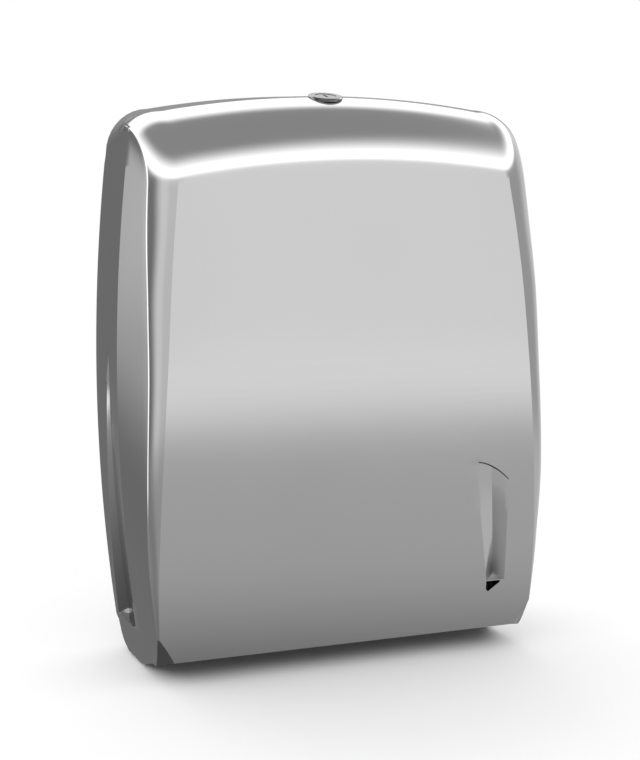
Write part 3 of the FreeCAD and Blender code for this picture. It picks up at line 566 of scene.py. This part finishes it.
    def face(self, row, across):
        """Point of the front, shoulder or top at a distance across."""
        kind, share = row
        s = self.s
        sag = self.sag(across)
        if kind == "front":
            return Vector((across, -self.front(share), self.settled(share, across)))
        if kind == "top":
            return Vector((across, -mix(self.shoulder_depth, s.rear, share), s.top - sag))
        tilt = mix(self.first_tilt, math.pi / 2, share)
        depth = self.shoulder_depth + s.shoulder * math.cos(tilt)
        base = s.top - s.shoulder - sag
        return Vector((across, -depth, base + s.shoulder * math.sin(tilt)))

    def band(self, row):
        """Points from the face's edge over the band to the hard edge."""
        kind, share = row
        inner, hard, angle = self.edges(row)
        start = self.face(row, inner)
        crease = {"front": 1, "shoulder": 1 - eased(share * 1.4), "top": 0}[kind]
        first = math.radians(self.START_ANGLE * crease)
        last = max(math.radians(angle), first + self.LEAST_TURN)
        points = []
        for step in range(1, self.BAND_STEPS + 1):
            turned = mix(first, last, step / self.BAND_STEPS)
            out = (math.sin(turned) - math.sin(first)) / (math.sin(last) - math.sin(first))
            down = (math.cos(first) - math.cos(turned)) / (math.cos(first) - math.cos(last))
            points.append(Vector((
                mix(start.x, hard.x, out), mix(start.y, hard.y, down), mix(start.z, hard.z, down),
            )))
        return points

    def rounding(self, row, before, hard, after):
        """Points round the softened hard edge between band and side."""
        kind, share = row
        radius = self.EDGE_RADIUS * (clamp((1 - share) * 5) if kind == "shoulder" else 1)
        radius = min(radius, 0.8 * (before - hard).length)
        start = hard + (before - hard).normalized() * radius
        end = hard + (after - hard).normalized() * radius
        points = []
        for step in range(self.EDGE_STEPS + 1):
            share = step / self.EDGE_STEPS
            points.append(start.lerp(hard, share).lerp(hard.lerp(end, share), share))
        return points

    def rows(self):
        """All rows from the foot of the front up and back to the rear edge of the top."""
        s = self.s
        low = s.sight_floor
        keys = [
            s.foot, s.gill_floor - self.LEDGE, s.gill_floor, self.APEX,
            *(low - drop for drop in self.OPENING_DROPS),
            low, low + self.TINY, s.sight_top * 0.84, s.sight_top - MM, s.sight_top, s.gill_top,
            290 * MM, self.shoulder_foot,
        ]
        rows = [("front", height) for height in spread(keys, self.ROW_STEPS)]
        steps = self.SHOULDER_STEPS
        rows += [("shoulder", (step + 1) / steps) for step in range(steps)]
        hard = self.edges(rows[-1])[1]
        depths = [-point.y for point in self.side_points(rows[-1], hard)]
        return rows + [("top", self.behind(depth)) for depth in depths]

    def behind(self, depth):
        """Share of the way back along the top at a depth."""
        return (self.shoulder_depth - depth) / (self.shoulder_depth - self.s.rear)

    def in_opening(self, height):
        """Whether the faces above a front row lie in the opening below the sight."""
        foot, *_, top = self.OPENING_DROPS
        drop = self.s.sight_floor - height - 0.1 * MM
        return top < drop < foot

    def sight_lines(self, height):
        """Left edge, valley and right edge of the sight groove at a height."""
        s = self.s
        drop = s.sight_floor - height
        if drop >= self.OPENING_LIMIT:
            sides = [
                follow([(-below, across) for below, across in outline], -drop)
                for outline in (self.OPENING_LEFT, self.OPENING_RIGHT)
            ]
        else:
            share = -drop / (s.sight_top - s.sight_floor)
            sides = [mix(*self.SIGHT_LEFT, share), mix(*self.SIGHT_VALLEY, share)]
        return *sides, self.SIGHT_RIGHT

    def across(self, row, inner):
        """Places across the face: even on the left, along the sight on the right."""
        s = self.s
        kind, share = row
        height = share if kind == "front" else self.shoulder_foot
        lines = self.sight_lines(min(height, s.sight_top))
        if height > s.sight_top:
            free = eased((height - s.sight_top) / (self.shoulder_foot - s.sight_top))
            even = [inner * part for part in self.EVEN_SHARES]
            lines = [mix(line, place, free) for line, place in zip(lines, even)]
        left = spread([-inner, 0], [self.LEFT_STEPS])
        return left[:-1] + spread([0, *lines, inner], self.RIGHT_STEPS)

    def sight(self, across, height):
        """Depth of the sight groove below the front at a place."""
        s = self.s
        low = s.sight_floor
        if height < low + self.TINY / 2 or height > s.sight_top - self.TINY:
            return 0
        left, valley, right = self.sight_lines(height)
        if not left < across < right:
            return 0
        fade = clamp((height - low) / (self.SIGHT_FADE - low))
        deep = mix(s.sight_depth, s.sight_depth / 3, fade)
        if across < valley:
            return deep * (across - left) / (valley - left)
        return deep * (right - across) / (right - valley)

    def dip(self, across, height):
        """How far a row dips to follow the curved upper edge of the sight."""
        top = self.s.sight_top
        right, left = self.SIGHT_RIGHT, self.SIGHT_LEFT[1]
        run = clamp((across - left) / (right - left))
        fall = self.DIP_SLOPE * run + self.DIP_CURVE * run**2
        fall *= eased((self.DIP_END - across) / (self.DIP_END - right))
        below = eased((height - self.DIP_FOOT) / (top - self.DIP_FOOT))
        return fall * below * eased((self.DIP_HEAD - height) / (self.DIP_HEAD - top))

    def front_point(self, height, across):
        """Point of the front with the sight groove, its slanted ledge and its upper edge."""
        point = self.face(("front", height - self.dip(across, height)), across)
        inward = self.sight(across, height)
        slant = clamp((self.s.sight_floor + self.SIGHT_LEAN - height) / self.SIGHT_LEAN)
        point.y += inward
        point.z += inward * self.LEDGE_SLANT * slant
        return point

    def side_points(self, row, hard):
        """Points of the side from the hard edge back to the rear edge."""
        s = self.s
        kind, share = row
        level = share if kind == "front" else hard.z
        ledge = s.gill_floor - self.LEDGE
        down = clamp((ledge - level) / (ledge - s.foot))
        front = -hard.y
        crease = min(s.crease, front - 2 * MM)
        keys = [front, crease, *self.gill_depths(self.gill_share(level)), s.rear]
        points = []
        for depth in spread(keys, self.SIDE_STEPS)[1:]:
            ahead = clamp((depth - crease) / (front - crease)) ** 1.5
            if kind == "shoulder":
                points.append(self.shoulder_side(depth, hard, ahead))
                continue
            rear_height = mix(max(level, ledge), self.cheek_outline(depth), down)
            height = mix(rear_height, hard.z, ahead)
            inward = 0 if down > 0 else self.gill(depth, level)
            points.append(Vector((self.side(depth, height) - inward, -depth, height)))
        return points

    def shoulder_side(self, depth, hard, ahead):
        """Point of the side between the last front row and the corner of the top."""
        corner = self.edges(("top", self.behind(min(depth, self.shoulder_depth))))[1]
        first = self.front_edges(self.shoulder_foot)[2].z
        last = self.edges(("top", 0))[1].z
        risen = (hard.z - first) / (last - first)
        height = mix(mix(self.shoulder_foot, first, ahead), corner.z, risen)
        half = mix(self.side(depth, height), corner.x, risen * risen)
        return Vector((half, -depth, height))

    def cheek_outline(self, depth):
        """Height of the cheek's lower edge at a depth: hinge lobe, sag and toe."""
        rear = self.HINGE_DEPTH - self.LOBE
        if depth < rear:
            return follow([(0, self.REAR_FOOT), (rear, self.HINGE_HEIGHT)], depth)
        if depth < self.TOE[0][0]:
            return self.HINGE_HEIGHT - math.sqrt(self.LOBE**2 - (depth - self.HINGE_DEPTH) ** 2)
        return follow(self.TOE, depth)

    def net(self):
        """All rows as points from the left rear to the right, and where each face begins."""
        rows = []
        for row in self.rows():
            kind, place = row
            inner, hard, _ = self.edges(row)
            right = self.band(row)
            if kind != "top":
                side = self.side_points(row, hard)
                right = right[:-1] + self.rounding(row, right[-2], hard, side[0]) + side
            left = [Vector((-point.x, point.y, point.z)) for point in reversed(right)]
            if kind == "front":
                middle = [self.front_point(place, across) for across in self.across(row, inner)]
            else:
                middle = [self.face(row, across) for across in self.across(row, inner)]
            rows.append((row, left + middle + right, len(left)))
        return rows


# The cover's mesh.

WELD = 0.002 * MM
CREASE_ANGLE = math.radians(13)
RIM_ANGLE = math.radians(30)

BOSS_OFFSET = 1.2 * MM
BOSS_BORE = 4.6 * MM
BOSS_COLLAR = 7.5 * MM
BOSS_NECK = 5.8 * MM
COLLAR_RUN = 1.3 * MM
BOSS_RUN = 7 * MM
POST_BORE = 1.6 * MM
POST_RADIUS = 3.5 * MM


def add_skin(bm, form):
    """Faces of the net without the opening below the sight, and marks on its creases."""
    lines = bm.edges.layers.int.new("line")
    hole_start = form.LEFT_STEPS + form.RIGHT_STEPS[0]
    hole = range(hole_start, hole_start + form.RIGHT_STEPS[1])
    side_crease = sum(form.SIDE_STEPS[1:])
    grid = []
    for row, points, start in form.net():
        grid.append((row, [bm.verts.new(point) for point in points], start))
    for (row, lower, start), (_, upper, next_start) in zip(grid, grid[1:]):
        kind, height = row
        trim = start - next_start
        lower = lower[trim:len(lower) - trim]
        opening = kind == "front" and form.in_opening(height)
        for column in range(len(lower) - 1):
            if opening and column - next_start in hole:
                continue
            bm.faces.new([lower[column], lower[column + 1], upper[column + 1], upper[column]])
        if kind == "front" and height > 2 * form.APEX:
            for column in (start, side_crease, -1 - start, -1 - side_crease):
                bm.edges.get((lower[column], upper[column]))[lines] = 1


def add_turned(bm, centre, axis, profile, steps=40):
    """Closed ring from (along, radius) pairs turned round an axis."""
    axis = Vector(axis).normalized()
    across = axis.orthogonal().normalized()
    other = axis.cross(across)
    rings = []
    for along, radius in profile:
        middle = Vector(centre) + axis * along
        ring = []
        for step in range(steps):
            angle = math.tau * step / steps
            spoke = across * math.cos(angle) + other * math.sin(angle)
            ring.append(bm.verts.new(middle + spoke * radius))
        rings.append(ring)
    for ring, following in zip(rings, rings[1:] + rings[:1]):
        for step in range(steps):
            ahead = (step + 1) % steps
            bm.faces.new([ring[step], ring[ahead], following[ahead], following[step]])
        for step in range(steps):
            bm.edges.get((ring[step], ring[(step + 1) % steps])).smooth = False


def add_bosses(bm, form):
    """Hinge bosses inside the cheeks and the two screw posts behind the sight."""
    middle = (BUSH_LOW + BUSH_HIGH) / 2
    for side in (-1, 1):
        centre = (side * (BUSH_LOW.x + BOSS_OFFSET), middle.y, middle.z)
        add_turned(bm, centre, (side, 0, 0), [
            (0, BOSS_BORE), (0, BOSS_COLLAR), (COLLAR_RUN, BOSS_COLLAR), (COLLAR_RUN, BOSS_NECK),
            (BOSS_RUN, BOSS_NECK), (BOSS_RUN, BOSS_BORE),
        ])
    height = (EARS_LOW.z + EARS_HIGH.z) / 2
    reach = form.front(height) - MM + WINDOW_HIGH.y
    for across in (EARS_LOW.x + POST_RADIUS, EARS_HIGH.x - POST_RADIUS):
        add_turned(bm, (across, WINDOW_HIGH.y, height), (0, -1, 0), [
            (0, POST_BORE), (0, POST_RADIUS), (reach, POST_RADIUS), (reach, POST_BORE),
        ])


def smooth_faces(bm):
    for face in bm.faces:
        face.smooth = True


def link(name, mesh):
    piece = bpy.data.objects.new(name, mesh)
    bpy.context.scene.collection.objects.link(piece)
    return piece


def skin_mesh(form):
    """The bare skin with its creases marked sharp."""
    bm = bmesh.new()
    add_skin(bm, form)
    bmesh.ops.remove_doubles(bm, verts=bm.verts, dist=WELD)
    bmesh.ops.recalc_face_normals(bm, faces=bm.faces)
    smooth_faces(bm)
    mesh = bpy.data.meshes.new("cover_skin")
    bm.to_mesh(mesh)
    bm.free()
    mesh.set_sharp_from_angle(angle=CREASE_ANGLE)
    for edge, line in zip(mesh.edges, mesh.attributes["line"].data):
        edge.use_edge_sharp = edge.use_edge_sharp or line.value == 1
    return mesh


def thicken(piece, wall):
    """Give the skin its sheet thickness and turn the modifier into mesh."""
    sheet = piece.modifiers.new("sheet", "SOLIDIFY")
    sheet.thickness = wall
    sheet.offset = -1
    graph = bpy.context.evaluated_depsgraph_get()
    mesh = bpy.data.meshes.new_from_object(piece.evaluated_get(graph))
    piece.modifiers.clear()
    piece.data = mesh


def build_cover(sizes):
    """The cover: skin, sheet thickness and crisp rims, then bosses and posts."""
    form = CoverForm(sizes)
    piece = link("cover_skin", skin_mesh(form))
    thicken(piece, sizes.wall)
    bm = bmesh.new()
    bm.from_mesh(piece.data)
    for edge in bm.edges:
        if edge.calc_face_angle(0) > RIM_ANGLE:
            edge.smooth = False
    add_bosses(bm, form)
    smooth_faces(bm)
    bm.to_mesh(piece.data)
    bm.free()
    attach(piece, "cover")
    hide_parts("front_cover")
    piece.data.materials.clear()
    piece.data.materials.append(finish_for("satin_steel"))


# Looks of the CAD nodes whose shape is already right.

SLOT_NODES = {
    "dark_plastic": ["back_plate", "towel_tray", "window_retainer"],
    "sheet_steel": [
        "left_guide", "right_guide", "left_hinge_bracket", "right_hinge_bracket", "catch_plate",
    ],
    "lock_chrome": ["lock_body", "lock_plug"],
    "screw_steel": [
        "lock_cam", "lock_nut", "lock_washer", "cam_screw", "left_hinge_pin", "right_hinge_pin",
        "guide_screws", "tray_screws", "bracket_screws", "catch_screws", "retainer_screws",
    ],
    "bush_plastic": ["left_hinge_bush", "right_hinge_bush"],
    "clear_window": ["level_window"],
}


def dress(slot):
    """Give the CAD nodes of one slot their finish, keeping their shape."""
    for name in SLOT_NODES[slot]:
        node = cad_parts[name]
        node.data.materials.clear()
        node.data.materials.append(finish_for(slot))
        for face in node.data.polygons:
            face.material_index = 0


# Studio.

LIGHT_LEVEL = 1.68
FLOOR_RADIUS = 0.8
FLOOR_CENTRE_DEPTH = 0.1
FLOOR_FADE = (0.45, 0.16)
LENS = 85.26
CAMERA_PLACE = (-0.4695, -1.2259, 0.3611)
CAMERA_TURN = math.radians(21.78)
CAMERA_TILT = math.radians(8.56)

# Cards round the object: where each starts and is full, as a share of half a turn from the
# front, left being negative, and its share of the light level.
CARDS = [
    (0.09, 0.03, 0.76), (-0.12, -0.2, 0.88), (-0.24, -0.41, 0.22), (0.185, 0.235, 0.47),
    (0.45, 0.6, 0.68), (0.72, 0.84, 0.2),
]

# The same for cards low down, with their strength.
LOW_CARDS = [(0.18, 0.3, 1.12), (0.09, 0.02, 0.7), (-0.16, -0.4, 0.5), (0.64, 0.76, 0.42)]


def studio_world():
    """Soft studio all round: bright in front, darker strips at the sides, grey low down."""
    world = bpy.data.worlds.new("studio")
    bpy.context.scene.world = world
    tree = Tree(world)
    white = colour([1] * 3)
    across, depth, up = tree.parts(tree.coordinates("Generated"))
    light = tree.add("ShaderNodeBackground", None, {"Color": colour([LIGHT_LEVEL] * 3)})

    def lay(mask, strength):
        card = tree.add("ShaderNodeBackground", None, {"Color": white, "Strength": strength})
        return tree.add("ShaderNodeMixShader", None, {0: mask, 1: light, 2: card})

    turn = tree.add("ShaderNodeMath", {"operation": "ARCTAN2"}, {0: across, 1: depth * -1})
    azimuth = turn / math.pi
    light = lay(up.smooth(-0.02, -0.07), LIGHT_LEVEL * 1.1)
    for start, full, share in CARDS:
        light = lay(azimuth.smooth(start, full), LIGHT_LEVEL * share)
    low = up.smooth(-0.115, -0.205)
    light = lay(low, 0.9)
    for start, full, strength in LOW_CARDS:
        light = lay(low * azimuth.smooth(start, full), strength)

    # A bright strip for the left edge, the side's own fall of light and its dark rear.
    edge_strip = azimuth.smooth(-0.5, -0.56) * up.smooth(-0.28, -0.2)
    light = lay(edge_strip, LIGHT_LEVEL * 1.9)
    beside = azimuth.smooth(-0.68, -0.76)
    light = lay(beside, 0.45)
    light = lay(beside * up.smooth(-0.24, 0.0), 1.15)
    light = lay(azimuth.smooth(-0.82, -0.88), 0.27)

    # Overhead: a bright rim round a grey ceiling, dark below and bright up behind.
    light = lay(up.smooth(0.36, 0.44), 3.6)
    light = lay(up.smooth(0.47, 0.84), 0.62)
    light = lay(up.smooth(-0.36, -0.6), 0.15)
    behind = depth.smooth(0.35, 0.6) * up.smooth(0.25, 0.55)
    light = lay(behind * (1 - up.smooth(0.9, 0.96)), 2.9)

    camera = tree.add("ShaderNodeLightPath", output="Is Camera Ray")
    through = tree.add("ShaderNodeLightPath", output="Is Transmission Ray")
    backdrop = tree.add("ShaderNodeBackground", None, {"Color": white})
    shown = {0: camera.larger(through), 1: light, 2: backdrop}
    light = tree.add("ShaderNodeMixShader", None, shown)
    tree.add("ShaderNodeOutputWorld", None, {"Surface": light})


def studio_floor(finish):
    """Pale round floor that fades into the white background."""
    bm = bmesh.new()
    bmesh.ops.create_circle(bm, cap_ends=True, segments=96, radius=FLOOR_RADIUS)
    mesh = bpy.data.meshes.new("floor")
    bm.to_mesh(mesh)
    bm.free()
    floor = link("floor", mesh)
    floor.location = (0, -FLOOR_CENTRE_DEPTH, CAD_BOX[0].z - MM)
    material, tree, shader = surface("floor", Roughness=0.9)
    paint = shade(tree, finish.floor, scaled_noise(tree, scale=3), dark=0.99, light=1)
    tree.feed(shader.inputs["Base Color"], paint)
    away = tree.add(
        "ShaderNodeVectorMath", {"operation": "LENGTH"}, {0: tree.coordinates("Object")}, 1
    )
    tree.feed(shader.inputs["Alpha"], away.smooth(*FLOOR_FADE))
    mesh.materials.append(material)
    floor.visible_glossy = False


def studio_camera():
    """Camera at the photograph's angle, seen from the left of the front."""
    data = bpy.data.cameras.new("camera")
    data.lens = LENS
    camera = link("camera", data)
    camera.location = CAMERA_PLACE
    ahead = Vector((
        math.sin(CAMERA_TURN) * math.cos(CAMERA_TILT),
        math.cos(CAMERA_TURN) * math.cos(CAMERA_TILT),
        -math.sin(CAMERA_TILT),
    ))
    camera.rotation_euler = ahead.to_track_quat("-Z", "Y").to_euler()
    bpy.context.scene.camera = camera


# Operators.

class DISPENSER_OT_cover(bpy.types.Operator):
    """Build the drawn steel cover"""

    bl_idname = "dispenser.cover"
    bl_label = "Cover"
    bl_options = {"REGISTER", "UNDO"}

    def execute(self, context):
        build_cover(context.scene.dispenser_cover)
        return {"FINISHED"}


class DISPENSER_OT_mouldings(bpy.types.Operator):
    """Finish the back plate, the towel tray and the window retainer"""

    bl_idname = "dispenser.mouldings"
    bl_label = "Mouldings"
    bl_options = {"REGISTER", "UNDO"}

    def execute(self, context):
        dress("dark_plastic")
        return {"FINISHED"}


class DISPENSER_OT_sheet_parts(bpy.types.Operator):
    """Finish the guides, hinge brackets and catch"""

    bl_idname = "dispenser.sheet_parts"
    bl_label = "Sheet parts"
    bl_options = {"REGISTER", "UNDO"}

    def execute(self, context):
        dress("sheet_steel")
        return {"FINISHED"}


class DISPENSER_OT_lock(bpy.types.Operator):
    """Finish the lock"""

    bl_idname = "dispenser.lock"
    bl_label = "Lock"
    bl_options = {"REGISTER", "UNDO"}

    def execute(self, context):
        dress("lock_chrome")
        return {"FINISHED"}


class DISPENSER_OT_hardware(bpy.types.Operator):
    """Finish the screws, pins, cam, nut and washer, and the hinge bushes"""

    bl_idname = "dispenser.hardware"
    bl_label = "Hardware"
    bl_options = {"REGISTER", "UNDO"}

    def execute(self, context):
        dress("screw_steel")
        dress("bush_plastic")
        return {"FINISHED"}


class DISPENSER_OT_window(bpy.types.Operator):
    """Finish the clear pane behind the level sight"""

    bl_idname = "dispenser.window"
    bl_label = "Window"
    bl_options = {"REGISTER", "UNDO"}

    def execute(self, context):
        dress("clear_window")
        return {"FINISHED"}


class DISPENSER_OT_studio(bpy.types.Operator):
    """Set the floor, the light and the camera"""

    bl_idname = "dispenser.studio"
    bl_label = "Studio"
    bl_options = {"REGISTER", "UNDO"}

    def execute(self, context):
        scene = context.scene
        scene.view_settings.view_transform = "Standard"
        studio_world()
        studio_floor(scene.dispenser_finishes)
        studio_camera()
        return {"FINISHED"}


STEPS = (
    DISPENSER_OT_cover,
    DISPENSER_OT_mouldings,
    DISPENSER_OT_sheet_parts,
    DISPENSER_OT_lock,
    DISPENSER_OT_hardware,
    DISPENSER_OT_window,
    DISPENSER_OT_studio,
)


class DISPENSER_PT_panel(bpy.types.Panel):
    """Sizes, colours and steps of the dispenser"""

    bl_idname = "DISPENSER_PT_panel"
    bl_label = "Towel dispenser"
    bl_space_type = "VIEW_3D"
    bl_region_type = "UI"
    bl_category = "Dispenser"

    def draw(self, context):
        for settings in (context.scene.dispenser_cover, context.scene.dispenser_finishes):
            box = self.layout.box()
            for name in settings.bl_rna.properties.keys():
                if name not in ("rna_type", "name"):
                    box.prop(settings, name)
        for step in STEPS:
            self.layout.operator(step.bl_idname)


CLASSES = (CoverSizes, Finishes, *STEPS, DISPENSER_PT_panel)


def register():
    for item in CLASSES:
        bpy.utils.register_class(item)
    bpy.types.Scene.dispenser_cover = bpy.props.PointerProperty(type=CoverSizes)
    bpy.types.Scene.dispenser_finishes = bpy.props.PointerProperty(type=Finishes)


def unregister():
    del bpy.types.Scene.dispenser_finishes
    del bpy.types.Scene.dispenser_cover
    for item in reversed(CLASSES):
        bpy.utils.unregister_class(item)


def main():
    register()
    for step in STEPS:
        group, name = step.bl_idname.split(".")
        getattr(getattr(bpy.ops, group), name)()


if __name__ == "__main__":
    main()
